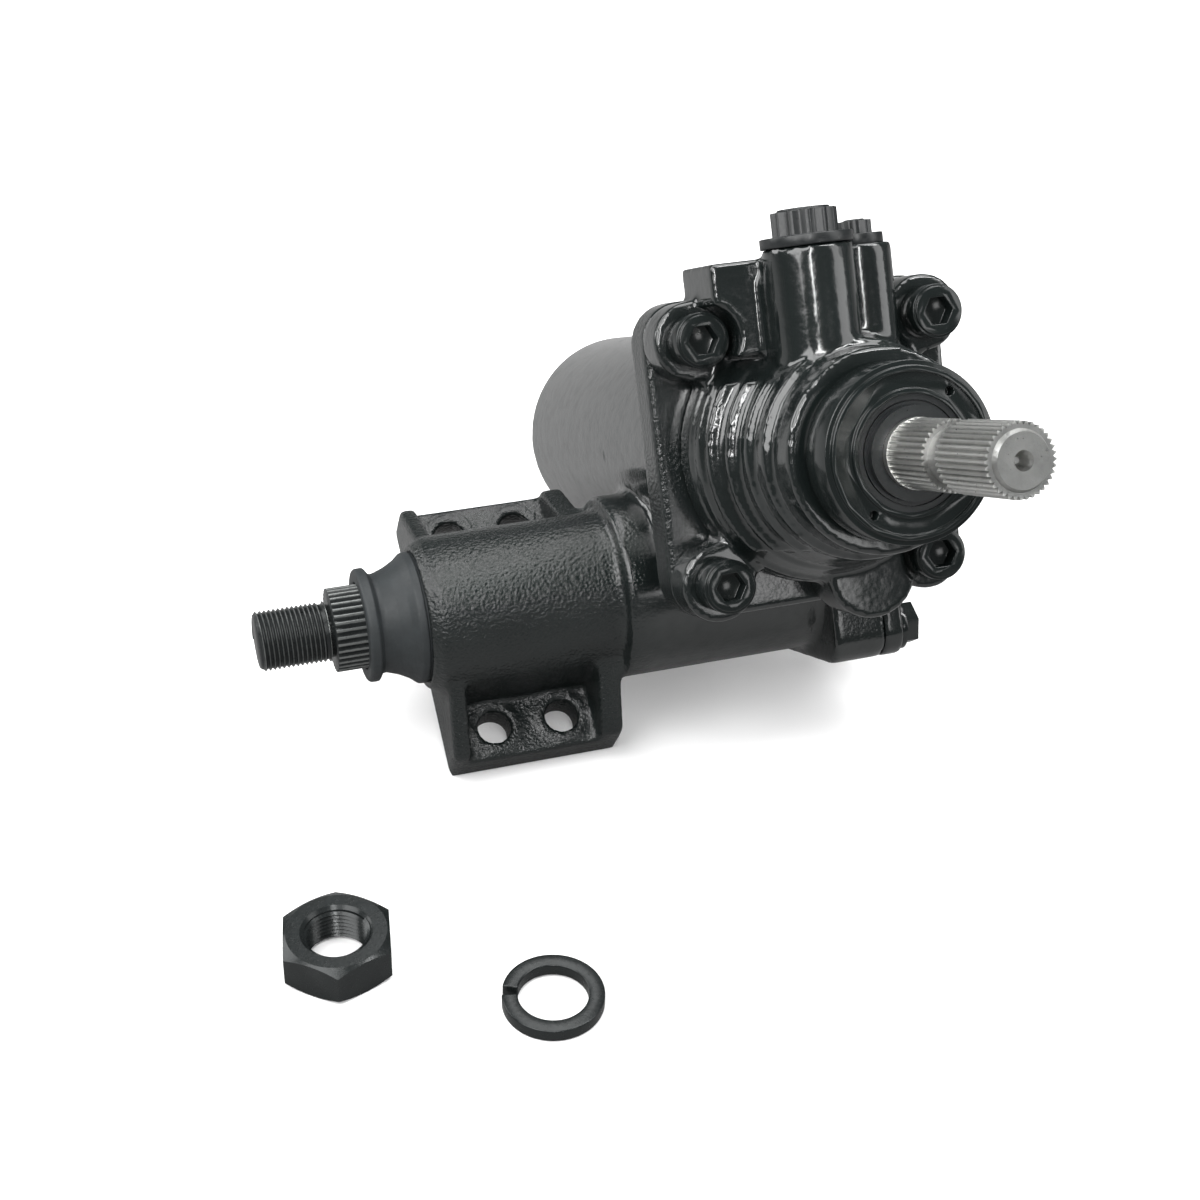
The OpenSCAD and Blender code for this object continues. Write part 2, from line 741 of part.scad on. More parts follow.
module ball_nut_piston() {
  color(steel) gear() difference() {
    rod(piston_r, piston_back, piston_front);
    rod(nut_bore_r, piston_back - 1, piston_front + 1);
    rod(nut_bore_r + 2, piston_back - 1, piston_back + 12);
    ring(piston_r + 1, piston_r - 3, piston_back + 8, piston_back + 11);
    translate([-40, -40, -2.5 * tooth_pitch + backlash])
      cube([80, 40 + rack_pitch_y - addendum, 5 * tooth_pitch - 2 * backlash]);
    for (k = [-2 : 2])
      translate([-40, rack_pitch_y, k * tooth_pitch])
        rotate([90, 0, 90])
          linear_extrude(80)
            polygon([
              [-12, -backlash / 4 - tooth_pitch / 4 - 12 * tan(pressure_angle)],
              [dedendum, -backlash / 4 - tooth_pitch / 4 + dedendum * tan(pressure_angle)],
              [dedendum, backlash / 4 + tooth_pitch / 4 - dedendum * tan(pressure_angle)],
              [-12, backlash / 4 + tooth_pitch / 4 + 12 * tan(pressure_angle)]
            ]);
    translate([-7, 19, -20]) cube([14, 14, 40]);
    for (z = [-14, 14])
      translate([0, 0, z]) rotate([-90, 0, 0]) cylinder(r = 3.4, h = 25);
  }
}

module piston_ring() {
  color(dark_steel) gear()
    ring(piston_r, piston_r - 3, piston_back + 8, piston_back + 11);
}

module piston_end_plug() {
  color(dark_steel) gear() difference() {
    rod(nut_bore_r + 2, piston_back, piston_back + 12);
    translate([-5, -5, piston_back - 1]) cube([10, 10, 6]);
  }
}

module recirculating_balls() {
  color(steel) gear()
    for (k = [0 : 41])
      let (s = (k - 20.5) * 28)
        rotate([0, 0, s - worm_back / worm_lead * 360 + 0])
          translate([ball_circle_r, 0, s / 360 * worm_lead])
            sphere(ball_r, $fn = 24);
}

module ball_return_guide() {
  color(steel) gear() {
    translate([0, 24.5, -14]) cylinder(r = 3.4, h = 28);
    for (z = [-14, 14])
      translate([0, nut_bore_r + 1, z]) rotate([-90, 0, 0]) cylinder(r = 3.4, h = 23.5 - nut_bore_r);
    for (z = [-14, 14])
      translate([0, 24.5, z]) sphere(3.4);
  }
}

module sector_shaft() {
  color(steel) gear() on_sector() difference() {
    union() {
      taper(thread_r - 1.5, thread_r, thread_end, thread_end + 1.5);
      rod(thread_r, thread_end + 1.5, serration_start - 1.5);
      rod(thread_r - 1.2, serration_start - 2, serration_start + 1);
      tooth_bar(serration_teeth, serration_r, serration_r - 0.9, serration_start, tube_end - 5);
      rod(journal_r, tube_end - 6, -sector_width / 2 - 1);
      rod(sector_root_r, -sector_width / 2 - 2, sector_width / 2);
      translate([0, 0, -sector_width / 2])
        linear_extrude(sector_width)
          union() {
            circle(sector_root_r);
            for (k = [-1 : 1])
              rotate(k * 360 / sector_pitches)
                polygon(sector_tooth);
          }
      rod(side_journal_r, sector_width / 2 - 1, cover_face + 1.5);
    }
    rod(adjuster_head_r + free_gap, adjuster_head_x - free_gap, adjuster_head_x + 3 + free_gap);
    rod(adjuster_r + free_gap, adjuster_head_x, cover_face + 3);
  }
}

// places a loose piece flat on the bench
module on_bench(x, y) {
  translate([x, y, bench_z])
    children();
}

module pitman_nut() {
  color(dark_steel) on_bench(nut_x, nut_y) difference() {
    rotate([0, 0, 20]) cylinder(r = nut_flats / sqrt(3), h = nut_h, $fn = 6);
    translate([0, 0, -1]) cylinder(r = thread_r - 0.8, h = nut_h + 2);
    translate([0, 0, nut_h - 1]) cylinder(r1 = thread_r - 0.8, r2 = thread_r + 0.4, h = 1.2);
  }
}

module spring_washer() {
  color(dark_steel) on_bench(washer_x, washer_y) difference() {
    cylinder(r = washer_r, h = washer_t);
    translate([0, 0, -1]) cylinder(r = thread_r + 0.6, h = washer_t + 2);
    rotate([0, 0, 160]) translate([0, -0.8, -1]) cube([30, 1.6, washer_t + 2]);
  }
}

main_housing();
valve_housing();
valve_housing_bolts();
valve_housing_seal();
bearing_cap();
input_oil_seal();
input_bearing();
worm_bearing();
cylinder_end_plug();
end_plug_seal();
end_plug_ring();
side_cover();
side_cover_bolts();
side_cover_seal();
side_cover_bush();
adjuster_screw();
adjuster_nut();
sector_outer_bearing();
sector_inner_bearing();
sector_oil_seal();
dust_boot();
pressure_port_plug();
return_port_plug();
input_shaft();
torsion_bar();
torsion_bar_pin();
coupling_pin();
valve_sleeve();
sleeve_seal_rings();
worm_shaft();
ball_nut_piston();
piston_ring();
piston_end_plug();
recirculating_balls();
ball_return_guide();
sector_shaft();
pitman_nut();
spring_washer();
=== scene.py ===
import json
import math
import bpy
from mathutils import Matrix, Vector


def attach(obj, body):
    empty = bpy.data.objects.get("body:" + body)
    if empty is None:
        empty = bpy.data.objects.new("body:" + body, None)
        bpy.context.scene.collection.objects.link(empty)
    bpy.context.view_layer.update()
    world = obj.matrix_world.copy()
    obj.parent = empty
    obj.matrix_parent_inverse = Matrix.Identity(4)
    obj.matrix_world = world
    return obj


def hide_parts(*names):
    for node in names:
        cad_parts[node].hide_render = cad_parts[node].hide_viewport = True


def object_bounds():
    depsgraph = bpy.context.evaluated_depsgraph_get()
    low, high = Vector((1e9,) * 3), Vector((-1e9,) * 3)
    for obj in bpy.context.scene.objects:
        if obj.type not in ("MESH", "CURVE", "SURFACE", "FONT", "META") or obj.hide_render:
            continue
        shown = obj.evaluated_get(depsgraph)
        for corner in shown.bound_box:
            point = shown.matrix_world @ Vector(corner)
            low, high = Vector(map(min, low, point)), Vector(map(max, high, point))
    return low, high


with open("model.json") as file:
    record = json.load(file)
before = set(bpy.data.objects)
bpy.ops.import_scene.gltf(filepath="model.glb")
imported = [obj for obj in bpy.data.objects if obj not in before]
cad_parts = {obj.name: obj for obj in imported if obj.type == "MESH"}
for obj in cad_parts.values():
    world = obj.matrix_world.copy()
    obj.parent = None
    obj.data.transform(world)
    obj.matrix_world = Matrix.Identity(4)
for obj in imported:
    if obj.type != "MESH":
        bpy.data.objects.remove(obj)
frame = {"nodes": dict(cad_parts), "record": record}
cadLow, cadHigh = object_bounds()
nodes = frame["nodes"]
mm = 0.001

# gear coordinates: x along the sector shaft, z along the input shaft; the row frame leans them onto the bench
layAngle = math.radians(61)
mountTilt = math.radians(29)
shaftOffset = 44.0
plateBack = 33.3
holeMidX = -79.6
plateDrop = plateBack * math.sin(mountTilt)
originGear = Vector((holeMidX, -shaftOffset - plateDrop, -plateBack * math.cos(mountTilt)))
gearMatrix = Matrix.Rotation(layAngle, 4, "X") @ Matrix.Translation(-originGear)
gearToRow = Matrix.Scale(mm, 4) @ gearMatrix
sectorToGear = Matrix.Translation((0, -shaftOffset, 0)) @ Matrix.Rotation(math.radians(90), 4, "Y")
mountToGear = Matrix.Translation((0, -shaftOffset, 0)) @ Matrix.Rotation(-mountTilt, 4, "X")


# node helpers
def newGroup(name, inputs, outputs):
    group = bpy.data.node_groups.new(name, "ShaderNodeTree")
    for label, kind, value in inputs:
        socket = group.interface.new_socket(label, in_out="INPUT", socket_type=kind)
        socket.default_value = value
    for label, kind in outputs:
        group.interface.new_socket(label, in_out="OUTPUT", socket_type=kind)
    return group, group.nodes.new("NodeGroupInput"), group.nodes.new("NodeGroupOutput")


def addMath(tree, operation, a, b=None, clamp=False):
    node = tree.nodes.new("ShaderNodeMath")
    node.operation = operation
    node.use_clamp = clamp
    for index, value in enumerate((a, b)):
        if value is None:
            continue
        if isinstance(value, (int, float)):
            node.inputs[index].default_value = value
        else:
            tree.links.new(value, node.inputs[index])
    return node.outputs[0]


def addNoise(tree, vector, scale, detail, rough=0.55):
    node = tree.nodes.new("ShaderNodeTexNoise")
    tree.links.new(vector, node.inputs["Vector"])
    if isinstance(scale, (int, float)):
        node.inputs["Scale"].default_value = scale
    else:
        tree.links.new(scale, node.inputs["Scale"])
    node.inputs["Detail"].default_value = detail
    node.inputs["Roughness"].default_value = rough
    return node.outputs[0]


def addMix(tree, factor, a, b, blend="MIX"):
    node = tree.nodes.new("ShaderNodeMix")
    node.data_type = "RGBA"
    node.blend_type = blend
    for label, value in (("Factor", factor), ("A", a), ("B", b)):
        if isinstance(value, bpy.types.NodeSocket):
            tree.links.new(value, node.inputs[label])
        else:
            node.inputs[label].default_value = value
    return node.outputs["Result"]


def buildCastGrain():
    group, entry, leave = newGroup(
        "castGrain",
        [("Scale", "NodeSocketFloat", 700.0), ("Heavy", "NodeSocketFloat", 1.0)],
        [("Height", "NodeSocketFloat"), ("Shade", "NodeSocketFloat"), ("Gloss", "NodeSocketFloat"),
         ("Smooth", "NodeSocketFloat")],
    )
    coords = group.nodes.new("ShaderNodeTexCoord").outputs["Object"]
    fine = addNoise(group, coords, entry.outputs["Scale"], 3.0)
    broad = addNoise(group, coords, 55.0, 2.0)
    cells = group.nodes.new("ShaderNodeTexVoronoi")
    cells.feature = "SMOOTH_F1"
    group.links.new(coords, cells.inputs["Vector"])
    group.links.new(addMath(group, "MULTIPLY", entry.outputs["Scale"], 0.62), cells.inputs["Scale"])
    pebble = addMath(group, "MULTIPLY", cells.outputs["Distance"], 0.9)
    mixed = addMath(group, "ADD", addMath(group, "MULTIPLY", fine, 0.8), pebble)
    # the tube and plate side (low x) keeps the rough sand skin, the cylinder is smoother
    split = group.nodes.new("ShaderNodeSeparateXYZ")
    group.links.new(coords, split.inputs[0])
    skinEdge, skinFade, leastSkin = 0.042, 60.0, 0.18
    side = addMath(group, "SUBTRACT", skinEdge, split.outputs["X"])
    roughSide = addMath(group, "MULTIPLY", side, skinFade, clamp=True)
    amount = addMath(group, "ADD", addMath(group, "MULTIPLY", roughSide, 0.82), leastSkin)
    strong = addMath(group, "MULTIPLY", amount, entry.outputs["Heavy"])
    runs = addNoise(group, coords, 210.0, 2.0, 0.5)
    slow = addMath(group, "MULTIPLY", broad, 0.8)
    swell = addMath(group, "ADD", slow, addMath(group, "MULTIPLY", runs, 0.5))
    calm = addMath(group, "SUBTRACT", 1.0, addMath(group, "MULTIPLY", roughSide, 0.7))
    wave = addMath(group, "MULTIPLY", swell, calm)
    dentScale, dentRadius, dentDepth = 60.0, 0.17, 14.0
    dents = group.nodes.new("ShaderNodeTexVoronoi")
    dents.inputs["Scale"].default_value = dentScale
    group.links.new(coords, dents.inputs["Vector"])
    bowl = addMath(group, "SUBTRACT", dentRadius, dents.outputs["Distance"], clamp=True)
    pit = addMath(group, "MULTIPLY", bowl, dentDepth)
    uneven = addMath(group, "SUBTRACT", wave, addMath(group, "MULTIPLY", pit, broad))
    # nicks and thin places in the coat of the smooth side
    sparse = addMath(group, "MULTIPLY", addMath(group, "SUBTRACT", broad, 0.47), 8.0, clamp=True)
    nick = addMath(group, "MULTIPLY", addMath(group, "MULTIPLY", pit, sparse), 0.9, clamp=True)
    full = addMath(group, "SUBTRACT", addMath(group, "ADD", runs, 0.45, clamp=True), nick, clamp=True)
    smoothSide = addMath(group, "SUBTRACT", 1.0, roughSide)
    group.links.new(addMath(group, "MULTIPLY", full, smoothSide), leave.inputs["Smooth"])
    skin = addMath(group, "MULTIPLY", mixed, strong)
    group.links.new(addMath(group, "ADD", skin, uneven), leave.inputs["Height"])
    tone = addMath(group, "MULTIPLY", broad, 0.5)
    group.links.new(addMath(group, "ADD", tone, 0.75), leave.inputs["Shade"])
    dull = addMath(group, "MULTIPLY", amount, 0.1)
    group.links.new(addMath(group, "MULTIPLY", fine, dull), leave.inputs["Gloss"])
    return group


def buildTurnedSteel():
    group, entry, leave = newGroup(
        "turnedSteel",
        [("Scale", "NodeSocketFloat", 400.0)],
        [("Height", "NodeSocketFloat"), ("Shade", "NodeSocketFloat"), ("Gloss", "NodeSocketFloat")],
    )
    coords = group.nodes.new("ShaderNodeTexCoord").outputs["Object"]
    fine = addNoise(group, coords, entry.outputs["Scale"], 4.0, 0.7)
    blotch = addNoise(group, coords, 180.0, 3.0)
    group.links.new(fine, leave.inputs["Height"])
    tone = addMath(group, "MULTIPLY", blotch, 0.7)
    group.links.new(addMath(group, "ADD", tone, 0.6), leave.inputs["Shade"])
    dull = addMath(group, "SUBTRACT", fine, 0.4)
    group.links.new(addMath(group, "MULTIPLY", dull, 0.35), leave.inputs["Gloss"])
    return group


def buildDustFilm():
    group, entry, leave = newGroup(
        "dustFilm",
        [("Amount", "NodeSocketFloat", 0.1)],
        [("Mask", "NodeSocketFloat")],
    )
    coords = group.nodes.new("ShaderNodeTexCoord").outputs["Object"]
    speck = addNoise(group, coords, 260.0, 5.0, 0.75)
    cloud = addNoise(group, coords, 30.0, 2.0)
    spots = addMath(group, "MULTIPLY", addMath(group, "SUBTRACT", speck, 0.58), 6.0, clamp=True)
    film = addMath(group, "MULTIPLY", addMath(group, "ADD", spots, cloud), entry.outputs["Amount"])
    group.links.new(film, leave.inputs["Mask"])
    return group


def buildCrestWear():
    group, entry, leave = newGroup(
        "crestWear",
        [("Origin", "NodeSocketVector", (0, 0, 0)), ("Along", "NodeSocketVector", (1, 0, 0)),
         ("Radius", "NodeSocketFloat", 0.01), ("Fade", "NodeSocketFloat", 0.0005)],
        [("Mask", "NodeSocketFloat")],
    )
    coords = group.nodes.new("ShaderNodeTexCoord").outputs["Object"]
    offset = group.nodes.new("ShaderNodeVectorMath")
    offset.operation = "SUBTRACT"
    group.links.new(coords, offset.inputs[0])
    group.links.new(entry.outputs["Origin"], offset.inputs[1])
    across = group.nodes.new("ShaderNodeVectorMath")
    across.operation = "CROSS_PRODUCT"
    group.links.new(offset.outputs["Vector"], across.inputs[0])
    group.links.new(entry.outputs["Along"], across.inputs[1])
    reach = group.nodes.new("ShaderNodeVectorMath")
    reach.operation = "LENGTH"
    group.links.new(across.outputs["Vector"], reach.inputs[0])
    patchDepth = 0.0004
    spread = addMath(group, "SUBTRACT", addNoise(group, coords, 500.0, 3.0), 0.5)
    patchy = addMath(group, "MULTIPLY", spread, patchDepth)
    above = addMath(group, "SUBTRACT", reach.outputs["Value"], entry.outputs["Radius"])
    worn = addMath(group, "ADD", above, patchy)
    group.links.new(addMath(group, "DIVIDE", worn, entry.outputs["Fade"], clamp=True), leave.inputs["Mask"])
    return group


grainGroup = buildCastGrain()
steelGroup = buildTurnedSteel()
dustGroup = buildDustFilm()
wearGroup = buildCrestWear()
dustColor = (0.2, 0.21, 0.2, 1)


def makeMaterial(name, look):
    material = bpy.data.materials.new(name)
    material.use_nodes = True
    tree = material.node_tree
    shader = tree.nodes["Principled BSDF"]
    shader.inputs["Metallic"].default_value = look.get("metallic", 0.0)
    shader.inputs["Coat Weight"].default_value = look.get("coat", 0.0)
    shader.inputs["Coat Roughness"].default_value = look.get("coatRough", 0.1)
    shader.inputs["Specular IOR Level"].default_value = look.get("specular", 0.5)
    effect = tree.nodes.new("ShaderNodeGroup")
    effect.node_tree = look["group"]
    effect.inputs["Scale"].default_value = look["scale"]
    if "heavy" in look:
        effect.inputs["Heavy"].default_value = look["heavy"]
    if "smoothCoat" in look:
        coat = addMath(tree, "MULTIPLY", effect.outputs["Smooth"], look["smoothCoat"])
        tree.links.new(coat, shader.inputs["Coat Weight"])
    tint = addMix(tree, 1.0, (*look["color"], 1), effect.outputs["Shade"], "MULTIPLY")
    dust = tree.nodes.new("ShaderNodeGroup")
    dust.node_tree = dustGroup
    dust.inputs["Amount"].default_value = look["dust"]
    color = addMix(tree, dust.outputs["Mask"], tint, dustColor)
    worn = None
    for crest in look.get("crests", []):
        wear = tree.nodes.new("ShaderNodeGroup")
        wear.node_tree = wearGroup
        wear.inputs["Origin"].default_value = crest["origin"]
        wear.inputs["Along"].default_value = crest["along"]
        wear.inputs["Radius"].default_value = crest["radius"]
        wear.inputs["Fade"].default_value = crest["fade"]
        mask = wear.outputs["Mask"]
        if "below" in crest:
            split = tree.nodes.new("ShaderNodeSeparateXYZ")
            tree.links.new(tree.nodes.new("ShaderNodeTexCoord").outputs["Object"], split.inputs[0])
            inside = addMath(tree, "LESS_THAN", split.outputs["X"], crest["below"])
            mask = addMath(tree, "MULTIPLY", mask, inside)
        worn = mask if worn is None else addMath(tree, "MAXIMUM", worn, mask)
    if worn is not None:
        color = addMix(tree, worn, color, look["crestColor"])
        tree.links.new(addMath(tree, "MAXIMUM", worn, look["metallic"]), shader.inputs["Metallic"])
    tree.links.new(color, shader.inputs["Base Color"])
    gloss = addMath(tree, "ADD", effect.outputs["Gloss"], look["rough"], clamp=True)
    tree.links.new(gloss, shader.inputs["Roughness"])
    bump = tree.nodes.new("ShaderNodeBump")
    bump.inputs["Strength"].default_value = look["bump"]
    bump.inputs["Distance"].default_value = look["depth"]
    tree.links.new(effect.outputs["Height"], bump.inputs["Height"])
    tree.links.new(bump.outputs["Normal"], shader.inputs["Normal"])
    return material


sectorAxis = {"origin": gearToRow @ Vector((0, -shaftOffset, 0)), "along": (1, 0, 0)}
inputAxis = {"origin": gearToRow @ Vector((0, 0, 0)), "along": gearMatrix.to_3x3() @ Vector((0, 0, 1))}
threadShoulder = -142.5
threadEnd = (gearToRow @ Vector((threadShoulder, 0, 0))).x
paintColor = (0.0052, 0.0075, 0.0073)

blackPaint = makeMaterial("blackPaint", {
    "color": paintColor, "rough": 0.14, "specular": 0.65, "smoothCoat": 0.8, "coatRough": 0.12,
    "group": grainGroup, "scale": 1500.0, "heavy": 1.5, "bump": 0.5, "depth": 0.0005, "dust": 0.012,
})
smoothPaint = makeMaterial("smoothPaint", {
    "color": paintColor, "rough": 0.15, "specular": 0.65,
    "group": grainGroup, "scale": 800.0, "heavy": 0.5, "bump": 0.3, "depth": 0.0003, "dust": 0.01,
})
wetPaint = makeMaterial("wetPaint", {
    "color": paintColor, "rough": 0.17, "specular": 0.65, "coat": 0.55, "coatRough": 0.06,
    "group": grainGroup, "scale": 700.0, "heavy": 1.4, "bump": 0.4, "depth": 0.0005, "dust": 0.01,
})
bareSteel = makeMaterial("bareSteel", {
    "color": (0.55, 0.55, 0.54), "metallic": 1.0, "rough": 0.26,
    "group": steelGroup, "scale": 900.0, "bump": 0.3, "depth": 0.0002, "dust": 0.08,
})
splineSteel = makeMaterial("splineSteel", {
    "color": (0.42, 0.42, 0.41), "metallic": 1.0, "rough": 0.3,
    "group": steelGroup, "scale": 700.0, "bump": 0.5, "depth": 0.0004, "dust": 0.06,
    "crestColor": (0.72, 0.72, 0.7, 1), "crests": [{**inputAxis, "radius": 0.0088, "fade": 0.0005}],
})
shaftSteel = makeMaterial("shaftSteel", {
    "color": (0.012, 0.014, 0.0145), "metallic": 0.3, "rough": 0.28,
    "group": steelGroup, "scale": 800.0, "bump": 0.2, "depth": 0.0002, "dust": 0.03,
    "crestColor": (0.24, 0.25, 0.245, 1),
    "crests": [{**sectorAxis, "radius": 0.0136, "fade": 0.0004},
               {**sectorAxis, "radius": 0.0097, "fade": 0.0003, "below": threadEnd}],
})
blackSteel = makeMaterial("blackSteel", {
    "color": (0.012, 0.0145, 0.0148), "metallic": 0.3, "rough": 0.2,
    "group": steelGroup, "scale": 800.0, "bump": 0.18, "depth": 0.0002, "dust": 0.025,
})
darkRubber = makeMaterial("darkRubber", {
    "color": (0.02, 0.0235, 0.0255), "rough": 0.48, "specular": 0.35,
    "group": steelGroup, "scale": 1100.0, "bump": 0.08, "depth": 0.0002, "dust": 0.05,
})
blackPlastic = makeMaterial("blackPlastic", {
    "color": (0.009, 0.0105, 0.0112), "rough": 0.3,
    "group": steelGroup, "scale": 1000.0, "bump": 0.08, "depth": 0.0002, "dust": 0.02,
})
bronze = makeMaterial("bronze", {
    "color": (0.5, 0.33, 0.14), "metallic": 1.0, "rough": 0.3,
    "group": steelGroup, "scale": 900.0, "bump": 0.1, "depth": 0.0002, "dust": 0.03,
})
print("materials made")

slotMaterials = {
    "black_casting": smoothPaint, "bare_steel": bareSteel, "black_steel": blackSteel, "rubber": darkRubber,
    "black_plastic": blackPlastic, "ring_plastic": blackPlastic, "bush_metal": bronze,
}
slotOf = {entry["node"]: entry["material_slot"] for entry in frame["record"]["subparts"]}


def paint(obj, material):
    obj.data.materials.clear()
    obj.data.materials.append(material)


def selectOnly(obj):
    bpy.ops.object.select_all(action="DESELECT")
    obj.select_set(True)
    bpy.context.view_layer.objects.active = obj


def shadeByAngle(obj, degrees):
    selectOnly(obj)
    bpy.ops.object.shade_smooth_by_angle(angle=math.radians(degrees))


for name, obj in nodes.items():
    paint(obj, slotMaterials[slotOf[name]])
paint(nodes["input_shaft"], splineSteel)
paint(nodes["input_oil_seal"], blackPlastic)


weldGap = 0.000004


def copyNode(name, newName):
    source = nodes[name]
    copy = source.copy()
    copy.data = source.data.copy()
    bpy.context.collection.objects.link(copy)
    copy.name = newName
    copy.hide_render = False
    copy.hide_viewport = False
    copy.parent = None
    copy.matrix_world = source.matrix_world.copy()
    selectOnly(copy)
    bpy.ops.object.transform_apply(location=True, rotation=True, scale=True)
    bpy.ops.object.mode_set(mode="EDIT")
    bpy.ops.mesh.select_all(action="SELECT")
    bpy.ops.mesh.remove_doubles(threshold=weldGap)
    bpy.ops.object.mode_set(mode="OBJECT")
    return copy


def applyModifier(obj, kind, **settings):
    selectOnly(obj)
    modifier = obj.modifiers.new(kind.lower(), kind)
    for key, value in settings.items():
        setattr(modifier, key, value)
    bpy.ops.object.modifier_apply(modifier=modifier.name)


def makeRod(matrix, radius, start, end, sides):
    bpy.ops.object.select_all(action="DESELECT")
    bpy.ops.mesh.primitive_cylinder_add(vertices=sides, radius=radius, depth=end - start, location=(0, 0, 0))
    rod = bpy.context.object
    rod.data.transform(gearToRow @ matrix @ Matrix.Translation((0, 0, (start + end) / 2)))
    return rod


def cutWith(obj, cutter):
    applyModifier(obj, "BOOLEAN", operation="DIFFERENCE", object=cutter, solver="EXACT")
    bpy.data.objects.remove(cutter, do_unlink=True)


# castings: the crisp copy is remeshed and smoothed, which gives the fillets of a sand casting
castings = {
    "main_housing": {"voxel": 0.0011, "rounds": 9, "keep": 0.5, "look": blackPaint},
    "valve_housing": {"voxel": 0.0009, "rounds": 9, "keep": 0.6, "look": wetPaint},
    "side_cover": {"voxel": 0.0009, "rounds": 7, "keep": 0.6, "look": wetPaint},
}
castVisual = {}
for name, plan in castings.items():
    cast = copyNode(name, name + "Cast")
    applyModifier(cast, "REMESH", mode="VOXEL", voxel_size=plan["voxel"])
    applyModifier(cast, "SMOOTH", factor=0.5, iterations=plan["rounds"])
    castVisual[name] = cast
    print("cast", name, len(cast.data.polygons))

# machined faces that the smoothing rounded are cut again, in gear millimetres
inputLine = Matrix.Identity(4)
cylinderBores = {"piston": {"radius": 30.02, "start": -121, "end": 79, "sides": 128}}
sectorBores = {
    "chamber": {"radius": 26.02, "start": -21, "end": 35, "sides": 96},
    "bearing": {"radius": 20.02, "start": -114, "end": -20, "sides": 96},
    "seal": {"radius": 21.52, "start": -114, "end": -104, "sides": 96},
}
halfPitchX, halfPitchV = 11.8, 35.5
plateHole = {
    "bolt": {"radius": 5.65, "start": -40, "end": 0, "sides": 48},
    "spotFace": {"radius": 8.5, "start": -20.3, "end": 6, "sides": 64},
}
valveBores = {
    "wormBearing": {"radius": 24.02, "start": 60, "end": 80, "sides": 96},
    "sleeve": {"radius": 22.02, "start": 79.5, "end": 138, "sides": 96},
}
boltPlaces = ((-37, 36), (-37, -36), (37, 36), (30.5, -36))
boltSeat = {"head": {"radius": 9.8, "start": 91, "end": 150, "sides": 48}}
coverBores = {"bush": {"radius": 17.02, "start": 20, "end": 41.2, "sides": 64}}


def cutBores(obj, line, bores):
    for bore in bores.values():
        cutWith(obj, makeRod(line, **bore))


cutBores(castVisual["main_housing"], inputLine, cylinderBores)
cutBores(castVisual["main_housing"], sectorToGear, sectorBores)
for dx in (-halfPitchX, halfPitchX):
    for dv in (-halfPitchV, halfPitchV):
        place = mountToGear @ Matrix.Translation((holeMidX + dx, dv, 0))
        cutBores(castVisual["main_housing"], place, plateHole)
cutBores(castVisual["valve_housing"], inputLine, valveBores)
for x, y in boltPlaces:
    cutBores(castVisual["valve_housing"], Matrix.Translation((x, y, 0)), boltSeat)
cutBores(castVisual["side_cover"], sectorToGear, coverBores)
for name, cast in castVisual.items():
    applyModifier(cast, "DECIMATE", ratio=castings[name]["keep"])
    shadeByAngle(cast, 40)
    paint(cast, castings[name]["look"])
    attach(cast, "housing")
    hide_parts(name)
    print("finished", name, len(cast.data.polygons))

# machined pieces: flat faces are merged, then every sharp edge gets a small round
rounded = {
    "bearing_cap": {"body": "housing", "width": 0.0005, "look": smoothPaint},
    "valve_housing_bolts": {"body": "housing", "width": 0.0004, "look": smoothPaint},
    "side_cover_bolts": {"body": "housing", "width": 0.0004, "look": smoothPaint},
    "adjuster_nut": {"body": "housing", "width": 0.0004, "look": smoothPaint},
    "adjuster_screw": {"body": "housing", "width": 0.0003, "look": bareSteel},
    "cylinder_end_plug": {"body": "housing", "width": 0.0004, "look": smoothPaint},
    "pressure_port_plug": {"body": "housing", "width": 0.0004, "look": blackPlastic},
    "return_port_plug": {"body": "housing", "width": 0.0003, "look": blackPlastic},
}
for name, plan in rounded.items():
    piece = copyNode(name, name + "Round")
    applyModifier(piece, "DECIMATE", decimate_type="DISSOLVE", angle_limit=math.radians(0.6))
    applyModifier(piece, "BEVEL", width=plan["width"], segments=2, limit_method="ANGLE",
                  angle_limit=math.radians(35), miter_outer="MITER_ARC")
    shadeByAngle(piece, 35)
    paint(piece, plan["look"])
    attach(piece, plan["body"])
    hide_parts(name)
print("rounded pieces made")

# dust boot: the turned copy is softened into one smooth moulding
boot = copyNode("dust_boot", "dustBoot")
applyModifier(boot, "REMESH", mode="VOXEL", voxel_size=0.00035)
applyModifier(boot, "SMOOTH", factor=0.5, iterations=8)
bootBores = {
    "lip": {"radius": 14.25, "start": -140, "end": -112, "sides": 96},
    "journal": {"radius": 16.35, "start": -119.5, "end": -112, "sides": 96},
}
cutBores(boot, sectorToGear, bootBores)
shadeByAngle(boot, 50)
paint(boot, darkRubber)
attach(boot, "housing")
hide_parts("dust_boot")


seamGap = 0.0005
triangleHalf = 0.866
squareHalf = 0.7071
ridgeShare = 0.56


def sweepSection(section, matrix, sweep, rise, turns, steps, corners):
    # a closed outline in the XZ plane is swept round Z with the screw modifier, and its ends are filled
    applyModifier(section, "SCREW", axis="Z", angle=math.radians(sweep), screw_offset=rise, iterations=turns,
                  steps=steps, render_steps=steps, use_smooth_shade=False)
    bpy.ops.object.mode_set(mode="EDIT")
    bpy.ops.mesh.select_all(action="SELECT")
    bpy.ops.mesh.remove_doubles(threshold=seamGap)
    bpy.ops.mesh.fill_holes(sides=corners)
    bpy.ops.mesh.select_all(action="SELECT")
    bpy.ops.mesh.normals_make_consistent(inside=False)
    bpy.ops.object.mode_set(mode="OBJECT")
    section.data.transform(gearToRow @ matrix)
    return section


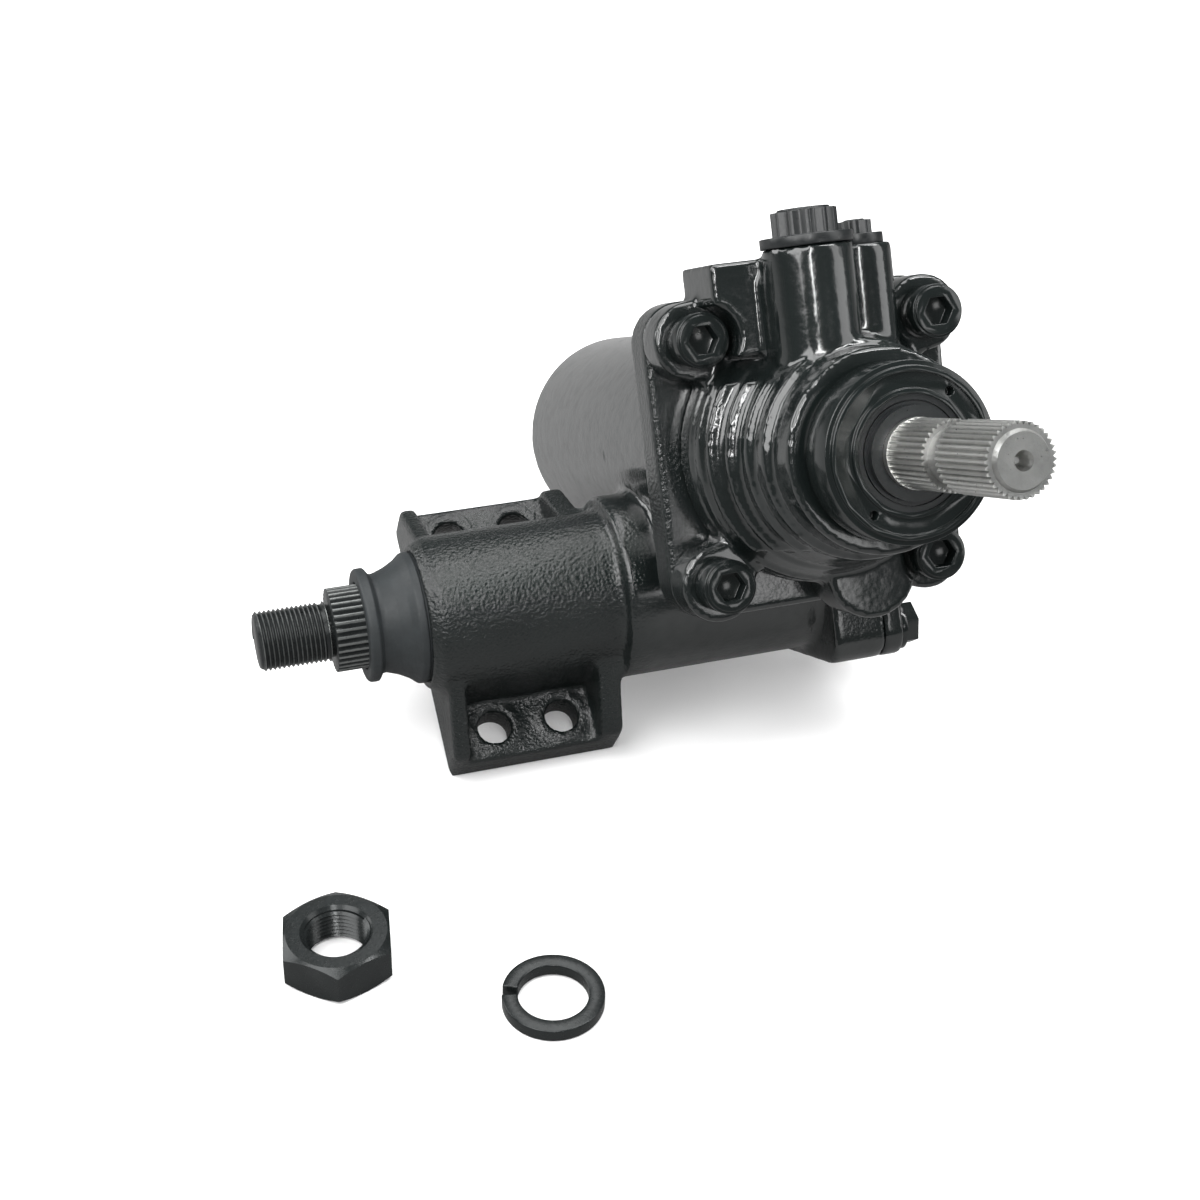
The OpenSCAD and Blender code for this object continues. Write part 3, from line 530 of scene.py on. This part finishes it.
def makeSection(corners, turn, sizeX, sizeZ):
    bpy.ops.object.select_all(action="DESELECT")
    bpy.ops.mesh.primitive_circle_add(vertices=corners, radius=1.0, location=(0, 0, 0))
    section = bpy.context.object
    upright = Matrix.Rotation(math.radians(90), 4, "X")
    section.data.transform(upright @ Matrix.Rotation(math.radians(turn), 4, "Z"))
    section.data.transform(Matrix.Diagonal((sizeX, 1, sizeZ, 1)))
    return section


def makeRidge(matrix, tipRadius, depth, pitch, start, turns, inward=False):
    # a triangle's tip lies two thirds of its depth from its middle
    tipOut = (-depth if inward else depth) / 1.5
    ridge = makeSection(3, -90, tipOut, pitch * ridgeShare / triangleHalf)
    ridge.data.transform(Matrix.Translation((tipRadius - tipOut, 0, start)))
    return sweepSection(ridge, matrix, 360, pitch, turns, 56, 3)


def joinInto(obj, other):
    selectOnly(obj)
    other.select_set(True)
    bpy.ops.object.join()


# sector shaft: the plain thread blank is turned down to the core, and a helical ridge is wound on it
shaft = copyNode("sector_shaft", "sectorShaft")
threadSleeve = {"radius": 12.0, "start": -170, "end": -143.2, "sides": 96}
threadCore = {"core": {"radius": 9.15, "start": -175, "end": -140, "sides": 96}}
shaftThread = {"tipRadius": 9.98, "depth": 1.05, "pitch": 1.5, "start": -165.4, "turns": 14}
sleeve = makeRod(sectorToGear, **threadSleeve)
cutBores(sleeve, sectorToGear, threadCore)
cutWith(shaft, sleeve)
joinInto(shaft, makeRidge(sectorToGear, **shaftThread))
shadeByAngle(shaft, 35)
paint(shaft, shaftSteel)
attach(shaft, "sector")
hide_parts("sector_shaft")
print("sector shaft made", len(shaft.data.polygons))


def makeCone(matrix, lowRadius, highRadius, start, end):
    bpy.ops.object.select_all(action="DESELECT")
    bpy.ops.mesh.primitive_cone_add(vertices=96, radius1=lowRadius, radius2=highRadius, depth=end - start,
                                    location=(0, 0, 0))
    cone = bpy.context.object
    cone.data.transform(gearToRow @ matrix @ Matrix.Translation((0, 0, (start + end) / 2)))
    return cone


def keepInside(obj, other):
    applyModifier(obj, "BOOLEAN", operation="INTERSECT", object=other, solver="EXACT")
    bpy.data.objects.remove(other, do_unlink=True)


# pitman nut: a hexagon prism chamfered by two cones, with a threaded bore
benchZ = cadLow[2] / mm
nutPlan = {"x": -81, "y": -113, "turn": 20, "flats": 32, "high": 13, "chamfer": 15.25}
nutThread = {"tipRadius": 9.1, "depth": 1.0, "pitch": 1.5, "start": 1.2, "turns": 7}
boreRadius = 9.95
mouthSmall, mouthWide, mouthDeep, mouthProud = 9.6, 11.6, 1.4, 0.6
coneSpare = 2
nutFrame = gearMatrix.inverted() @ Matrix.Translation((nutPlan["x"], nutPlan["y"], benchZ))
nutFrame = nutFrame @ Matrix.Rotation(math.radians(nutPlan["turn"]), 4, "Z")
nutTop = nutPlan["high"]
hexFrame = nutFrame @ Matrix.Rotation(math.radians(30), 4, "Z")
nut = makeRod(hexFrame, nutPlan["flats"] / math.sqrt(3), 0, nutTop, 6)
nut.name = "pitmanNut"
wide = nutPlan["chamfer"] + (nutTop + coneSpare) * math.sqrt(3)
narrow = nutPlan["chamfer"] - coneSpare * math.sqrt(3)
keepInside(nut, makeCone(nutFrame, wide, narrow, -coneSpare, nutTop + coneSpare))
keepInside(nut, makeCone(nutFrame, narrow, wide, -coneSpare, nutTop + coneSpare))
cutWith(nut, makeRod(nutFrame, boreRadius, -1, nutTop + 1, 96))
cutWith(nut, makeCone(nutFrame, mouthSmall, mouthWide, nutTop - mouthDeep, nutTop + mouthProud))
cutWith(nut, makeCone(nutFrame, mouthWide, mouthSmall, -mouthProud, mouthDeep))
applyModifier(nut, "BEVEL", width=0.00025, segments=2, limit_method="ANGLE", angle_limit=math.radians(25))
joinInto(nut, makeRidge(nutFrame, **nutThread, inward=True))
shadeByAngle(nut, 30)
paint(nut, blackSteel)
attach(nut, "nut")
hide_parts("pitman_nut")

# spring washer: a rectangular section swept in a short helix of less than one turn, which leaves the split
washerPlan = {"x": -23, "y": -147, "turn": 165, "inner": 10.6, "outer": 15.4, "high": 4.2, "rise": 0.8,
              "sweep": 351}
washerFrame = gearMatrix.inverted() @ Matrix.Translation((washerPlan["x"], washerPlan["y"], benchZ))
washerFrame = washerFrame @ Matrix.Rotation(math.radians(washerPlan["turn"]), 4, "Z")
halfWide = (washerPlan["outer"] - washerPlan["inner"]) / 2
halfHigh = washerPlan["high"] / 2
section = makeSection(4, 45, halfWide / squareHalf, halfHigh / squareHalf)
section.data.transform(Matrix.Translation((washerPlan["inner"] + halfWide, 0, halfHigh)))
washer = sweepSection(section, washerFrame, washerPlan["sweep"], washerPlan["rise"], 1, 120, 4)
washer.name = "springWasher"
applyModifier(washer, "BEVEL", width=0.0005, segments=3, limit_method="ANGLE", angle_limit=math.radians(40))
shadeByAngle(washer, 35)
paint(washer, blackSteel)
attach(washer, "washer")
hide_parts("spring_washer")
print("nut and washer made")

# stage: pale floor, soft panels and the photo's camera
floorZ = cadLow[2]
bpy.ops.object.select_all(action="DESELECT")
bpy.ops.mesh.primitive_plane_add(size=12, location=(0, 0, floorZ))
floor = bpy.context.object
floor.name = "floor"
floorMaterial = bpy.data.materials.new("paleFloor")
floorMaterial.use_nodes = True
floorTree = floorMaterial.node_tree
floorShader = floorTree.nodes["Principled BSDF"]
floorRays = floorTree.nodes.new("ShaderNodeLightPath")
# the floor is pale to the camera and darker to the object, so that the black paint stays black
seenFloor, mirroredFloor = (0.95, 0.95, 0.95, 1), (0.22, 0.22, 0.22, 1)
floorTone = addMix(floorTree, floorRays.outputs["Is Camera Ray"], mirroredFloor, seenFloor)
floorTree.links.new(floorTone, floorShader.inputs["Base Color"])
floorShader.inputs["Roughness"].default_value = 0.9
floorShader.inputs["Specular IOR Level"].default_value = 0.0
floor.data.materials.append(floorMaterial)

world = bpy.data.worlds.new("studio")
bpy.context.scene.world = world
world.use_nodes = True
worldTree = world.node_tree
rays = worldTree.nodes.new("ShaderNodeLightPath")
# the room lights the floor evenly, looks dark in reflections and white to the camera
litRoom, mirroredRoom, seenRoom = (0.8, 0.8, 0.8, 1), (0.12, 0.13, 0.13, 1), (1, 1, 1, 1)
room = addMix(worldTree, rays.outputs["Is Glossy Ray"], litRoom, mirroredRoom)
backdrop = addMix(worldTree, rays.outputs["Is Camera Ray"], room, seenRoom)
worldTree.links.new(backdrop, worldTree.nodes["Background"].inputs["Color"])

panels = {
    "keyPanel": {"place": (-0.55, -0.35, 0.85), "size": (0.7, 0.9), "power": 9.5},
    "sidePanel": {"place": (-0.8, 0.5, 0.55), "size": (0.6, 0.8), "power": 6.0},
    "topPanel": {"place": (0.3, 0.3, 1.1), "size": (0.9, 0.9), "power": 9.0},
    "rightPanel": {"place": (0.9, -0.5, 0.5), "size": (0.5, 0.7), "power": 2.5},
    "facePanel": {"place": (0.33, -0.95, 0.42), "size": (0.2, 0.2), "power": 0.35},
    "frontStrip": {"place": (-0.15, -0.75, 0.8), "size": (0.08, 0.5), "power": 3.0},
    "rightStrip": {"place": (0.55, -0.25, 0.95), "size": (0.1, 0.6), "power": 3.5},
}
aim = Vector((0.05, -0.03, 0.06))
for name, plan in panels.items():
    light = bpy.data.lights.new(name, "AREA")
    light.shape = "RECTANGLE"
    light.size, light.size_y = plan["size"]
    light.energy = plan["power"]
    lamp = bpy.data.objects.new(name, light)
    bpy.context.collection.objects.link(lamp)
    lamp.location = plan["place"]
    lamp.rotation_euler = (aim - lamp.location).to_track_quat("-Z", "Y").to_euler()

cameraPlan = {
    "place": (-0.1442, -0.5416, 0.4198), "lens": 59.897, "sensor": 36, "nearest": 0.01,
    "rows": ((0.9544, -0.2972, 0.0277), (0.1519, 0.5638, 0.8118), (-0.2569, -0.7706, 0.5832)),
}
cameraData = bpy.data.cameras.new("camera")
cameraData.lens = cameraPlan["lens"]
cameraData.sensor_width = cameraPlan["sensor"]
cameraData.clip_start = cameraPlan["nearest"]
camera = bpy.data.objects.new("camera", cameraData)
bpy.context.collection.objects.link(camera)
turn = Matrix(cameraPlan["rows"]).transposed().to_4x4()
camera.matrix_world = Matrix.Translation(cameraPlan["place"]) @ turn
bpy.context.scene.camera = camera
bpy.context.scene.view_settings.view_transform = "Standard"

print("stage set")
